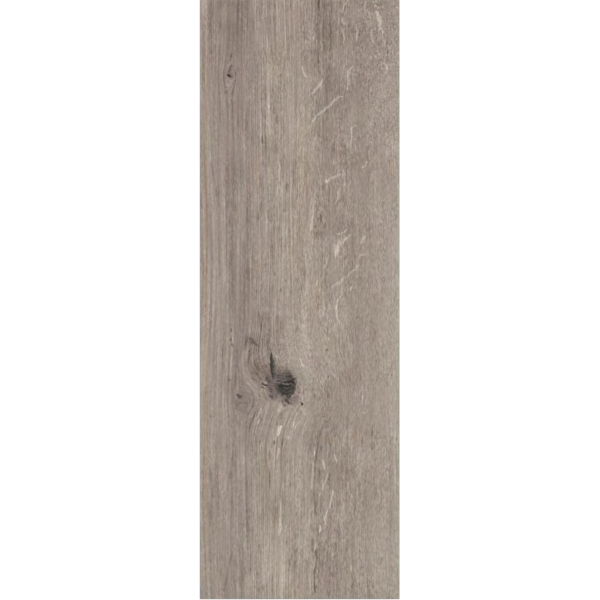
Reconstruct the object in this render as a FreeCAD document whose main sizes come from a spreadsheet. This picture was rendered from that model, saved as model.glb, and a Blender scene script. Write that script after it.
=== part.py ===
"""Wood look porcelain plank tile, 200 x 600 mm nominal, as one fired piece.

The slab lies face up with its ribbed back on the level floor. The origin is the middle of the back, Z is up through
the tile, Y runs along the plank and X across it. All sizes are in millimetres.

The tile was pressed, fired and then ground to size on its four edges, so the edges are square to the face, with a
small bevel round the face and a smaller one round the back. The back is keyed for the adhesive: a waffle of shallow
recesses with cut corners and sloping walls, which leaves a grid of ribs inside a plain rim. The rim and the tops of
the ribs are the plane that the tile rests on.
"""

import FreeCAD, Part
import math
import os

import Sketcher

PARTS = "parts"

# Alias, value and meaning of each driving dimension
SIZES = [
    ("tile_length", "600", "edge to edge along the plank"),
    ("tile_width", "200", "edge to edge across the plank"),
    ("tile_thickness", "9", "rib tops to face"),
    ("face_bevel", "0.6", "bevel ground round the face"),
    ("back_bevel", "0.5", "bevel ground round the back"),
    ("side_rim", "6", "plain rim of the back along the long edges"),
    ("end_rim", "14", "plain rim of the back along the short edges"),
    ("rib_width", "4", "rib between two key recesses, at its top"),
    ("key_pitch", "24", "aimed distance from one recess to the next"),
    ("key_depth", "0.7", "depth of a recess"),
    ("key_corner", "3", "corner cut off a recess at its mouth, along each side"),
    ("key_draft", "40", "slope of a recess wall, in degrees off the upright"),
]

# Whole recesses that fit between the rims, and the pitch that spreads them evenly
KEYS_ACROSS = "max(1; round((sizes.tile_width - 2 * sizes.side_rim + sizes.rib_width) / sizes.key_pitch))"
KEYS_ALONG = "max(1; round((sizes.tile_length - 2 * sizes.end_rim + sizes.rib_width) / sizes.key_pitch))"
PITCH_ACROSS = f"(sizes.tile_width - 2 * sizes.side_rim + sizes.rib_width) / {KEYS_ACROSS}"
PITCH_ALONG = f"(sizes.tile_length - 2 * sizes.end_rim + sizes.rib_width) / {KEYS_ALONG}"

# How closely the volume that a cut takes out has to match the volume worked out for it
CUT_TOLERANCE = 0.02


def fill_sheet(doc):
    """The spreadsheet that drives every size."""
    sheet = doc.addObject("Spreadsheet::Sheet", "sizes")
    for row, (alias, value, meaning) in enumerate(SIZES, start=1):
        sheet.set(f"A{row}", meaning)
        sheet.set(f"B{row}", value)
        sheet.setAlias(f"B{row}", alias)
    doc.recompute()
    return sheet


def origin_feature(body, role):
    """A body's own origin plane or axis."""
    return next(feature for feature in body.Origin.OriginFeatures if feature.Role == role)


def bind(item, **formulas):
    """Ties properties of a feature to the sheet."""
    for name, formula in formulas.items():
        item.setExpression(name, formula)


def bind_constraint(sketch, name, constraint, formula):
    """Adds a named dimension to a sketch and ties it to the sheet."""
    index = sketch.addConstraint(constraint)
    sketch.renameConstraint(index, name)
    sketch.setExpression(f"Constraints.{name}", formula)


def sketch_on(body, name, role):
    """An empty sketch on one of the body's origin planes."""
    sketch = body.newObject("Sketcher::SketchObject", name)
    sketch.AttachmentSupport = [(origin_feature(body, role), "")]
    sketch.MapMode = "FlatFace"
    return sketch


def draw_outline(sketch, sheet):
    """The tile's rectangle, centred on the origin."""
    across, along = sheet.tile_width / 2, sheet.tile_length / 2
    corners = [
        FreeCAD.Vector(-across, -along, 0),
        FreeCAD.Vector(across, -along, 0),
        FreeCAD.Vector(across, along, 0),
        FreeCAD.Vector(-across, along, 0),
    ]
    for start, end in zip(corners, corners[1:] + corners[:1]):
        sketch.addGeometry(Part.LineSegment(start, end), False)
    for line in range(4):
        sketch.addConstraint(Sketcher.Constraint("Coincident", line, 2, (line + 1) % 4, 1))
        sketch.addConstraint(Sketcher.Constraint("Horizontal" if line % 2 == 0 else "Vertical", line))
    sketch.addConstraint(Sketcher.Constraint("Symmetric", 0, 1, 2, 1, -1, 1))
    width = Sketcher.Constraint("DistanceX", 0, 1, 0, 2, 2 * across)
    bind_constraint(sketch, "across", width, "sizes.tile_width")
    length = Sketcher.Constraint("DistanceY", 1, 1, 1, 2, 2 * along)
    bind_constraint(sketch, "along", length, "sizes.tile_length")


def draw_recess(sketch, sheet):
    """The mouth of the first key recess: a rectangle with cut corners, in the corner of the back at low X and low Y.

    It is drawn near its place, and the dimensions then set it. Sides and corners alternate, from the low side round.
    """
    corner = sheet.key_corner
    left = sheet.side_rim - sheet.tile_width / 2
    low = sheet.end_rim - sheet.tile_length / 2
    right = left + sheet.key_pitch - sheet.rib_width
    high = low + sheet.key_pitch - sheet.rib_width
    points = [
        FreeCAD.Vector(left + corner, low, 0),
        FreeCAD.Vector(right - corner, low, 0),
        FreeCAD.Vector(right, low + corner, 0),
        FreeCAD.Vector(right, high - corner, 0),
        FreeCAD.Vector(right - corner, high, 0),
        FreeCAD.Vector(left + corner, high, 0),
        FreeCAD.Vector(left, high - corner, 0),
        FreeCAD.Vector(left, low + corner, 0),
    ]
    for start, end in zip(points, points[1:] + points[:1]):
        sketch.addGeometry(Part.LineSegment(start, end), False)
    for line in range(8):
        sketch.addConstraint(Sketcher.Constraint("Coincident", line, 2, (line + 1) % 8, 1))
    for side in (0, 2, 4, 6):
        sketch.addConstraint(Sketcher.Constraint("Horizontal" if side % 4 == 0 else "Vertical", side))
    for cut in (3, 5, 7):
        sketch.addConstraint(Sketcher.Constraint("Perpendicular", cut - 2, cut))
        sketch.addConstraint(Sketcher.Constraint("Equal", cut - 2, cut))
    low_side, first_cut, right_side, high_side, left_side = 0, 1, 2, 4, 6
    dimensions = [
        ("cut_across", Sketcher.Constraint("DistanceX", first_cut, 1, first_cut, 2, corner), "sizes.key_corner"),
        ("cut_along", Sketcher.Constraint("DistanceY", first_cut, 1, first_cut, 2, corner), "sizes.key_corner"),
        (
            "across",
            Sketcher.Constraint("DistanceX", left_side, 1, right_side, 1, right - left),
            f"{PITCH_ACROSS} - sizes.rib_width",
        ),
        (
            "along",
            Sketcher.Constraint("DistanceY", low_side, 1, high_side, 1, high - low),
            f"{PITCH_ALONG} - sizes.rib_width",
        ),
        (
            "from_side",
            Sketcher.Constraint("DistanceX", left_side, 1, -1, 1, -left),
            "sizes.tile_width / 2 - sizes.side_rim",
        ),
        (
            "from_end",
            Sketcher.Constraint("DistanceY", low_side, 1, -1, 1, -low),
            "sizes.tile_length / 2 - sizes.end_rim",
        ),
    ]
    for name, constraint, formula in dimensions:
        bind_constraint(sketch, name, constraint, formula)


def edges_round(shape, height):
    """Names of the straight edges that lie wholly at one height, as a dress-up feature wants them."""
    level = [
        f"Edge{number}"
        for number, edge in enumerate(shape.Edges, start=1)
        if all(abs(vertex.Point.z - height) < 1e-6 for vertex in edge.Vertexes)
    ]
    if len(level) != 4:
        raise RuntimeError(f"expected four edges at height {height}, found {len(level)}")
    return level


def bevel(body, name, base, height, size):
    """A 45 degree bevel round the four edges of the slab at one height."""
    chamfer = body.newObject("PartDesign::Chamfer", name)
    chamfer.Base = (base, edges_round(base.Shape, height))
    bind(chamfer, Size=size)
    body.Document.recompute()
    return chamfer


def make_tile(doc, sheet):
    """The whole tile as one body: slab, two bevels, and the keyed back."""
    body = doc.addObject("PartDesign::Body", "plank_tile")
    body.Label = "plank_tile"

    outline = sketch_on(body, "outline", "XY_Plane")
    draw_outline(outline, sheet)
    slab = body.newObject("PartDesign::Pad", "slab")
    slab.Profile = outline
    bind(slab, Length="sizes.tile_thickness")
    doc.recompute()

    face_edge = bevel(body, "face_edge", slab, sheet.tile_thickness, "sizes.face_bevel")
    back_edge = bevel(body, "back_edge", face_edge, 0.0, "sizes.back_bevel")

    mouth = sketch_on(body, "key_mouth", "XY_Plane")
    draw_recess(mouth, sheet)
    key = body.newObject("PartDesign::Pocket", "key")
    key.Profile = mouth
    key.Type = "Length"
    key.Reversed = True
    bind(key, Length="sizes.key_depth", TaperAngle="-sizes.key_draft")
    doc.recompute()
    check_cut(back_edge, key, one_recess_volume(sheet, mouth))

    keyed_back = body.newObject("PartDesign::LinearPattern", "keyed_back")
    keyed_back.Originals = [key]
    keyed_back.Direction = (origin_feature(body, "X_Axis"), [""])
    keyed_back.Direction2 = (origin_feature(body, "Y_Axis"), [""])
    bind(keyed_back, Occurrences=KEYS_ACROSS, Length=f"{PITCH_ACROSS} * ({KEYS_ACROSS} - 1)")
    bind(keyed_back, Occurrences2=KEYS_ALONG, Length2=f"{PITCH_ALONG} * ({KEYS_ALONG} - 1)")
    body.Tip = keyed_back
    doc.recompute()
    copies = keyed_back.Occurrences * keyed_back.Occurrences2
    check_cut(back_edge, keyed_back, copies * one_recess_volume(sheet, mouth))
    return body


def one_recess_volume(sheet, mouth):
    """What one recess takes out of the tile: a shallow frustum between its mouth and its smaller floor."""
    step = sheet.key_depth * math.tan(math.radians(sheet.key_draft))
    across = mouth.getDatum("across").Value
    along = mouth.getDatum("along").Value

    def area(inset):
        cut = max(sheet.key_corner - (2 - math.sqrt(2)) * inset, 0)
        return (across - 2 * inset) * (along - 2 * inset) - 2 * cut**2

    return sheet.key_depth * (area(0) + 4 * area(step / 2) + area(step)) / 6


def check_cut(before, after, expected):
    """A pocket that points the wrong way cuts nothing and says nothing, so the volume is compared."""
    removed = before.Shape.Volume - after.Shape.Volume
    if abs(removed - expected) > CUT_TOLERANCE * expected:
        raise RuntimeError(f"{after.Name} took out {removed:.1f} mm3 and not {expected:.1f} mm3")
    print(f"{after.Name}: {removed:.1f} mm3 removed, {expected:.1f} mm3 expected")


def check_document(doc, nodes):
    """Stops before anything is written if a feature failed or a sub-part has no sound shape."""
    for item in doc.Objects:
        if "Invalid" in item.State or "Error" in item.State:
            raise RuntimeError(f"{item.Name} failed: {item.State}")
    for node in nodes:
        if node.Shape.isNull() or not node.Shape.isValid() or len(node.Shape.Solids) != 1:
            raise RuntimeError(f"{node.Label} has no sound solid")


def write_parts(nodes):
    """One STEP file for each sub-part, named after its label."""
    os.makedirs(PARTS, exist_ok=True)
    for node in nodes:
        node.Shape.exportStep(f"{PARTS}/{node.Label}.step")
        box = node.Shape.BoundBox
        extent = f"{box.XLength:.2f} x {box.YLength:.2f} x {box.ZLength:.2f} mm"
        print(f"{node.Label}: {extent}, {node.Shape.Volume / 1000:.2f} cm3, {len(node.Shape.Faces)} faces")


def main():
    doc = FreeCAD.newDocument("porcelain_plank")
    sheet = fill_sheet(doc)
    nodes = [make_tile(doc, sheet)]
    check_document(doc, nodes)
    write_parts(nodes)


main()
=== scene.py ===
"""Looks of the wood look porcelain plank tile.

One pressed, glazed and fired plank lies face up. Its face carries a printed picture of brushed oak in a warm
grey taupe, pressed with a fine grain in step with the print. Its four edges are ground square with a small
bevel, and its back is a waffle of shallow recesses. The piece is built on the size of the CAD node, in
metres, and its patterns are drawn in millimetres: x across the plank, y along it, both from its middle.
"""

import math

import bmesh
import bpy
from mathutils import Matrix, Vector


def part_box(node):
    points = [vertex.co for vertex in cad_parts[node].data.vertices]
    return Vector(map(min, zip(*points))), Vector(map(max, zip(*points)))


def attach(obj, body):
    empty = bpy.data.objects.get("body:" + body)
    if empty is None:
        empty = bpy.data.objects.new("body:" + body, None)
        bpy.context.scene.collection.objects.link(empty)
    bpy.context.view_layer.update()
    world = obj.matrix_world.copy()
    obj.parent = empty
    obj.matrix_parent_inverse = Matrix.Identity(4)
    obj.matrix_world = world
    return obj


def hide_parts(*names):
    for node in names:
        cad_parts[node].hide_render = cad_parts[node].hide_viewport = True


MM = 0.001
HUNDREDTH = 0.01

# The tile's edges and back, in millimetres, with the slope of a recess's walls in degrees
FACE_BEVEL = 0.6
BACK_BEVEL = 0.5
SIDE_RIM = 6.0
RIB_WIDTH = 4.0
KEYS_ACROSS = 8
KEYS_ALONG = 24
KEY_DEPTH = 0.7
KEY_CORNER = 3.0
KEY_EASE = 0.25
KEY_DRAFT = 40.0

# Cells of the face sheet, across and along
FACE_CELLS = (340, 196)

# Where each side lies on the tile's own map: from and to across the map, then from and to up it
MAP_PLACES = {
    "face": (0.004, 0.640, 0.004, 0.996),
    "back": (0.652, 0.930, 0.004, 0.996),
    "left": (0.938, 0.950, 0.004, 0.996),
    "right": (0.956, 0.968, 0.004, 0.996),
    "near": (0.974, 0.986, 0.004, 0.334),
    "far": (0.974, 0.986, 0.344, 0.674),
}

# The pressed relief: its depth away from all marks and where it is deepest, in millimetres, then how much
# deeper it is at a dark streak, touch or line of strength 1
RESTING_DEPTH = 0.08
DEEPEST = 0.4
STREAK_DEPTH = 0.03
TOUCH_DEPTH = 0.55
LINE_DEPTH = 0.5

# Hollows pressed at the knots: depth in hundredths of a millimetre, then points with a half width each
HOLLOWS = [
    (22, (-18, -84, 7), (-11, -86, 8), (-12, -93, 5)),
    (18, (-28.6, -54, 0.6), (-27, -66, 2.4), (-26, -77, 1.4)),
    (22, (-72, 224.6, 1.4), (-68.2, 223, 1.4)),
]

# Colours as they show on a screen, 0 to 255
OAK = (157.8, 144.2, 133.5)
CLAY = (142.0, 133.0, 125.0)
KILN_WASH = (196.0, 190.0, 181.0)

# How red, green and blue change where the print turns redder or yellower, how far it does so in its streaks,
# as a share of white, and how the tint drifts with each millimetre along the plank
REDDER = (1.0, -1.0, 0.2)
YELLOWER = (0.4, 0.3, -1.0)
RED_TINT = 0.0032
YELLOW_TINT = 0.0042
DRIFT_OF_TINT = 0.000006

# How strongly the parts of the grain show, as shares of the oak's tone
BAND_TONE = 0.018
DRIFT_TONE = 0.014
HAIRLINE_TONE = 0.16
MOTTLE_TONE = 0.032
SPECKLE_TONE = 0.055
DAB_TONE = 0.085
DOT_TONE = 0.32

# How strongly the listed marks are laid on, against the strengths in their lists
FLECK_STRENGTH = 1.45
PALE_STRENGTH = 1.35
LINE_STRENGTH = 1.2

# How many shares of white a tone of 1 is
TONE_TO_STEP = 0.58

# How far the print's ink spreads at the rim of a mark, in millimetres
SOFT_RIM = 0.35

# Noise drawn out one way: the width and length of its marks in millimetres, its seed, detail and roughness
PATTERNS = {
    "wide wander": (70, 300, 3.1, 1.0, 0.5),
    "narrow wander": (18, 70, 4.1, 1.0, 0.5),
    "drift": (40, 220, 5.1, 2.0, 0.5),
    "bands": (12, 170, 7.7, 1.0, 0.5),
    "breaks in dark marks": (0.9, 14, 33.3, 1.0, 0.6),
    "brushed hairs": (0.7, 9, 34.3, 2.0, 0.5),
    "mottle": (1.5, 1.9, 41.7, 1.0, 0.6),
    "hairlines": (1.7, 260, 42.3, 1.0, 0.5),
    "patches of hairlines": (14, 120, 44.3, 1.0, 0.5),
    "pale dots": (1.7, 2.1, 46.7, 1.0, 0.6),
    "contrast": (13, 42, 52.2, 1.0, 0.5),
    "wavering of the quarters": (12, 40, 55.2, 1.0, 0.5),
    "redder streaks": (9, 30, 63.5, 2.0, 0.5),
    "yellower streaks": (11, 30, 74.8, 2.0, 0.5),
    "fray across": (3, 9, 85.1, 1.0, 0.5),
    "fray along": (3, 6, 86.1, 1.0, 0.5),
    "checks in the knots": (4, 1.1, 92.1, 2.0, 0.6),
    "grinding marks": (24, 0.22, 91.3, 2.0, 0.6),
    "scuffs": (3, 40, 114.9, 2.0, 0.6),
    "gloss": (5, 30, 124.2, 2.0, 0.5),
}

# Streaks of the grain, coarse to fine: width, length, seed, the strength in each quarter of the plank from
# left to right, and the share that stays where the grain is mottled
GRAIN_LAYERS = [
    (4.5, 170.0, 12.4, (0.030, 0.028, 0.030, 0.026), 0.5),
    (2.5, 120.0, 17.7, (0.085, 0.040, 0.045, 0.025), 0.3),
    (0.95, 120.0, 23.0, (0.024, 0.122, 0.035, 0.035), 0.2),
    (1.5, 15.0, 28.3, (0.032, 0.036, 0.052, 0.028), 0.6),
    (0.85, 4.0, 33.6, (0.068, 0.085, 0.115, 0.108), 0.9),
]

# Where one quarter's grain gives way to the next: the middle and half width of each change, and how far it
# wavers
QUARTERS = [(-50.0, 7.0), (1.0, 7.0), (51.0, 7.0)]
WAVERING = 4.0

# Small knots that the grain parts round: x, y, reach, stretch along the plank and how hard they push
KNOTS_IN_GRAIN = [
    (-59.0, -99.0, 5.5, 0.70, 0.65),
    (-70.0, 224.0, 4.5, 0.45, 1.5),
    (-21.0, -177.0, 2.6, 0.50, 1.2),
]

# The main knot, which short dabs of tone circle: x, y and the stretch along the plank
MAIN_KNOT = (-18.0, -84.0, 0.72)

# The mottled ground round the main knot: x, y, half width and half length
MOTTLED_ROUND_KNOT = (8.0, -74.0, 62.0, 54.0)

# The speckled upper right: where it begins and where it is full, across and then along
SPECKLED_PART = ((40.0, 75.0), (120.0, 210.0))

# The strip in it where pale dots lie thick: points with a half width each
DOTTED_STRIP = ((66, 300, 9), (76, 276, 14), (86, 240, 9))

# Where the grain swings near the main knot, to dive into it or pass round it: x, y, how far across and along
# the swing reaches, and how far it goes to the right
SWINGS_IN_GRAIN = [
    (4.0, -92.0, 26.0, 25.0, 17.0),
    (-40.0, -98.0, 13.0, 20.0, 8.0),
    (-48.0, -62.0, 12.0, 16.0, -5.0),
    (-62.0, -93.0, 9.0, 17.0, -4.0),
]

# Tone across the plank, as a share of the oak colour, at places from the left edge to the right one
TONE_ACROSS = [
    (-100.0, 0.030), (-94.0, 0.015), (-84.0, -0.030), (-72.0, -0.045), (-64.0, -0.062), (-52.0, -0.045),
    (-38.0, -0.010), (-22.0, 0.006), (-8.0, 0.028), (6.0, 0.032), (18.0, -0.010), (30.0, -0.014),
    (44.0, 0.000), (58.0, -0.008), (72.0, 0.014), (84.0, 0.035), (94.0, 0.060), (100.0, 0.090),
]

# Pale ray flecks: strength in hundredths, then points with a half width each
RAY_FLECKS = [
    (14, (23, 219, 0.5), (20.5, 215, 1.2), (16, 209.5, 0.9), (10, 204, 0.4)),
    (14, (2.3, 233, 0.5), (3.4, 228, 0.8), (5.5, 224, 0.9), (7.5, 222, 0.4)),
    (13, (40.6, 273.5, 0.5), (43.2, 269, 0.8), (44.3, 262, 0.9), (43.3, 256.5, 0.6)),
    (9, (42.3, 282, 0.4), (43.6, 278, 0.7), (45.6, 274.8, 0.5)),
    (10, (48.7, 299, 0.5), (44.5, 293.5, 0.7), (42.1, 287, 0.5)),
    (8, (56.2, 274.5, 0.7), (58.3, 268, 0.9), (56.6, 260, 0.6)),
    (10, (66.4, 297.5, 0.6), (64.8, 291.5, 0.8), (65.4, 286.5, 0.6)),
    (12, (69.2, 287, 0.5), (70.8, 282, 0.7), (71.1, 277, 0.7), (71.3, 273, 0.5)),
    (10, (71.9, 270, 0.6), (72, 264.5, 0.9), (73, 260.5, 0.7), (73.8, 256.5, 0.5)),
    (15, (52.9, 232.8, 0.6), (49.2, 228.8, 0.8), (48.2, 223.5, 1), (48.9, 216.5, 0.9), (47.7, 210, 0.5)),
    (15.5, (43, 203.3, 0.5), (37, 200.8, 1.2), (33.5, 197.8, 1.4), (30, 193.5, 1.2), (20, 186, 1.1),
     (13, 178, 0.4)),
    (16.5, (77.3, 287.6, 1.7), (78.8, 283, 2.3), (80.2, 278.5, 2.3), (80.1, 274, 1.6), (79.8, 269.5, 0.9)),
    (8, (82.4, 270.5, 0.6), (83.2, 264, 0.8), (84, 259, 0.8), (84.6, 254, 0.5)),
    (12, (84.5, 236.8, 1.3), (86.6, 232.8, 1.9), (89, 229, 0.9)),
    (10, (56.5, 174, 0.5), (52, 171, 0.9), (51.5, 165, 0.8), (52, 160, 0.7), (51, 152, 0.4)),
    (11, (40, 125, 0.5), (35, 122.5, 0.9), (31, 121, 1), (27, 118, 1.8)),
    (14, (67, 138, 0.6), (65.5, 133, 0.8), (62, 132, 0.5)),
    (3, (75.5, 120, 0.5), (76, 112, 0.9), (75, 105, 0.4)),
    (15, (38, 108, 0.5), (38, 100, 0.6), (35, 95, 0.3)),
    (10, (18.5, 131, 0.5), (21, 124, 0.6)),
    (6, (51.5, 258, 0.4), (48.2, 253, 0.6), (47.6, 249.5, 0.3)),
    (4, (73, 184, 0.4), (71.5, 167, 0.5)),
    (13, (14.3, 99, 0.4), (13.5, 86, 0.8), (12.2, 76, 0.9), (11.4, 70.5, 1.1)),
    (14, (47, 69, 0.4), (41, 66, 1), (37, 64.5, 0.5)),
    (15, (51, 65, 0.6), (46, 60, 1.3), (41, 57, 2), (38, 53, 3), (37, 48, 2.7), (36.4, 43.5, 1.5)),
    (14, (61.5, 57, 1.6), (62, 59, 1.8), (66, 63, 0.5)),
    (11, (66, 45, 0.4), (61, 43.5, 0.8), (58, 41, 0.4)),
    (13, (43, 13, 0.4), (42, 4, 0.5), (38.2, -1, 0.8), (36.4, -9, 0.9), (37, -15, 0.6), (39.6, -24, 0.4)),
    (8, (32.8, 12, 0.5), (33.2, 3, 0.4)),
    (4, (-49, -46, 1.8), (-56, -54, 2.4), (-58, -65, 2.6), (-53, -77, 2.6), (-44, -90, 2), (-37, -96, 1.2)),
    (8, (-89.6, 149, 0.4), (-89, 143, 0.7), (-90.5, 138, 0.5)),
    (3.5, (-55, -262, 1.2), (-54.5, -280, 1.6), (-54, -296, 1.2)),
    (11, (60, 33.5, 0.4), (54, 29, 0.9), (47, 23, 1), (40, 17, 1.1), (33, 12.5, 0.8)),
    (14, (29.2, 44, 0.5), (27, 37, 0.6), (24.5, 31, 0.4)),
    (9, (49, 43, 0.4), (46, 37, 0.5)),
    (11, (0, -59.5, 0.5), (2, -63.5, 0.9), (3.6, -66.8, 0.6)),
    (11, (31, -72, 0.5), (35, -76.5, 0.6)),
    (11, (21, -82, 0.9), (23, -84.5, 0.8)),
    (26, (-18.5, -127.5, 1.2), (-20, -130, 1.4), (-21.5, -135, 0.8)),
    (7, (-19, -127.3, 0.9), (-23, -126.8, 0.5)),
    (12, (-0.3, -121, 0.4), (-2.5, -125, 0.7), (-4.7, -129, 0.4)),
    (8, (-2, -112, 0.4), (-4.5, -119, 0.6), (-6.5, -127, 0.4)),
    (7, (-31, -103, 0.4), (-34, -112, 0.7), (-36, -121, 0.4)),
    (7, (-43.4, -112, 0.4), (-45, -123, 0.6), (-46, -133, 0.3)),
    (6, (-11.8, -114, 0.4), (-15, -122, 0.5), (-17, -130, 0.3)),
    (6, (8, -118, 0.4), (5, -126, 0.6), (3, -134, 0.3)),
    (3, (-6, -129, 0.5), (-9, -139, 0.6)),
    (12, (-20.8, -149, 0.6), (-21.3, -154, 0.8), (-22.5, -159, 0.5)),
    (11, (-40, -113, 0.5), (-42, -124, 0.5)),
    (16, (15.3, -151, 0.6), (15, -155.5, 0.8)),
    (20, (23.5, -160.5, 0.7), (24, -165, 1.1), (24.8, -170, 0.8)),
    (15, (34.9, -155, 0.5), (35.5, -159, 0.8), (36.8, -160.8, 1)),
    (5, (34.5, -142, 0.5), (34.5, -152, 0.5), (36, -158, 0.7), (38, -164, 0.4)),
    (10, (13.3, -163, 0.5), (13.5, -172, 0.9), (12.5, -179, 0.9), (11.7, -190, 0.4)),
    (9, (13.6, -262, 0.5), (13.4, -275, 0.8), (13.4, -290, 0.5)),
    (13, (29, -171.5, 0.3), (28.2, -175.5, 0.6), (26.2, -180, 0.7), (24.2, -185.5, 0.8),
     (22.4, -190.5, 0.5)),
    (12, (21, -193, 0.8), (20, -197, 0.6)),
    (18, (33.2, -192, 0.6), (32, -197, 1), (31, -203, 1), (30.4, -209, 0.5)),
    (16, (28.6, -211, 0.5), (26.3, -215, 1), (25.6, -219.5, 1.4), (26, -225, 0.9)),
    (24, (20.4, -227, 0.5), (20.9, -229.5, 1.2), (20.2, -233, 0.5)),
    (14, (16.4, -242.5, 0.6), (16.2, -246, 1.2), (15.2, -250.5, 0.8)),
    (9, (34.5, -250, 0.5), (32.8, -256, 0.6)),
    (12.5, (-19, -203, 0.7), (-19, -218, 1.1), (-20, -229, 2.1), (-20.3, -236, 0.9)),
]

# Paler touches along the grain: strength in hundredths, x, y, half width, half length and, where it leans,
# how far to the right it leans for each millimetre up
PALE_TOUCHES = [
    (3, 66.4, 198.6, 1.5, 1.6), (13, 27, 118, 3.2, 3.2), (13, -19.5, -109, 3, 6, 0.2),
    (10, -32.5, 256, 0.8, 13), (2, -27.4, 284, 0.7, 18), (8, 13.5, 267, 0.8, 18), (13, 17, 257, 0.8, 9),
    (9, 2, 294, 0.9, 5), (13, 73.5, 297, 1.7, 1.5), (13, 76.4, 293.6, 1.6, 1.3), (14, 77, 298, 1.4, 1.5),
    (11, 72, 293.5, 1.1, 1.1), (16, 79.6, 244.6, 1.3, 1.9), (14, 71.5, 242, 1.7, 2.1),
    (13, 75.8, 242.7, 1.2, 1.5), (9, 82, 236, 1.3, 1.3), (12, 97, 292, 1.5, 1.7), (10, 59.6, 229, 1.3, 1.3),
    (7, 53.5, 246.5, 1, 4.5), (3, 57, 260, 1, 4.5), (14, 57, 79, 0.8, 7), (16, 17.5, 16, 0.9, 5, 0.3),
    (14, 16, 47, 0.9, 4), (12, 52, 11, 1.4, 1.6), (9, 56, 12, 1.4, 1.6), (11, -38.6, 158, 0.8, 28),
    (11, -33.3, 180, 1, 22), (14, -20, 128, 0.9, 13), (9, -22.3, 108, 0.9, 9, 0.05), (8, -33.4, 76, 1, 16),
    (7, -57, 64, 1.6, 6), (8, 4, -26.5, 1.2, 2.5), (16, 28.5, -40.3, 1.9, 1.6),
    (14, 63, -97.5, 1.1, 2.6, 0.3), (12, -6, -124, 1, 3.6, 0.15), (15, -11.3, -138, 1.3, 2.4),
    (6, -7.5, -154, 0.8, 5, -0.1), (7, -38.6, -112, 1, 7), (13, -16.2, -188, 1.1, 5),
    (4, -21.5, -184, 0.9, 6), (3, -23, -171.5, 1.8, 1.5), (8, -56, -160, 1, 6), (9, 41, -150, 0.8, 9),
    (7, 52.1, -146, 1.1, 9), (10, 41.2, -128, 1.2, 4), (14, 64.7, -113.3, 1.6, 1.6), (11, 38, -218, 0.9, 6),
    (12, 52.1, -269, 1, 9), (5, -28.6, -220.5, 1.2, 4.5), (4, -34.5, -221, 1, 9), (9, -23.4, -205, 0.9, 4),
    (8, 61.5, -280, 0.9, 6), (9, -40.5, -298, 1.4, 3), (6, -16.3, -268, 1, 5), (12, -31.5, -246.5, 1, 3),
    (10, 67.6, 288.5, 0.9, 3), (9, 68.9, 272.5, 0.8, 3), (10, 78.4, 292, 1, 2), (8, 83.4, 293.2, 1.1, 1.6),
    (6, 16.2, 228, 2.6, 5.5),
]

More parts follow.
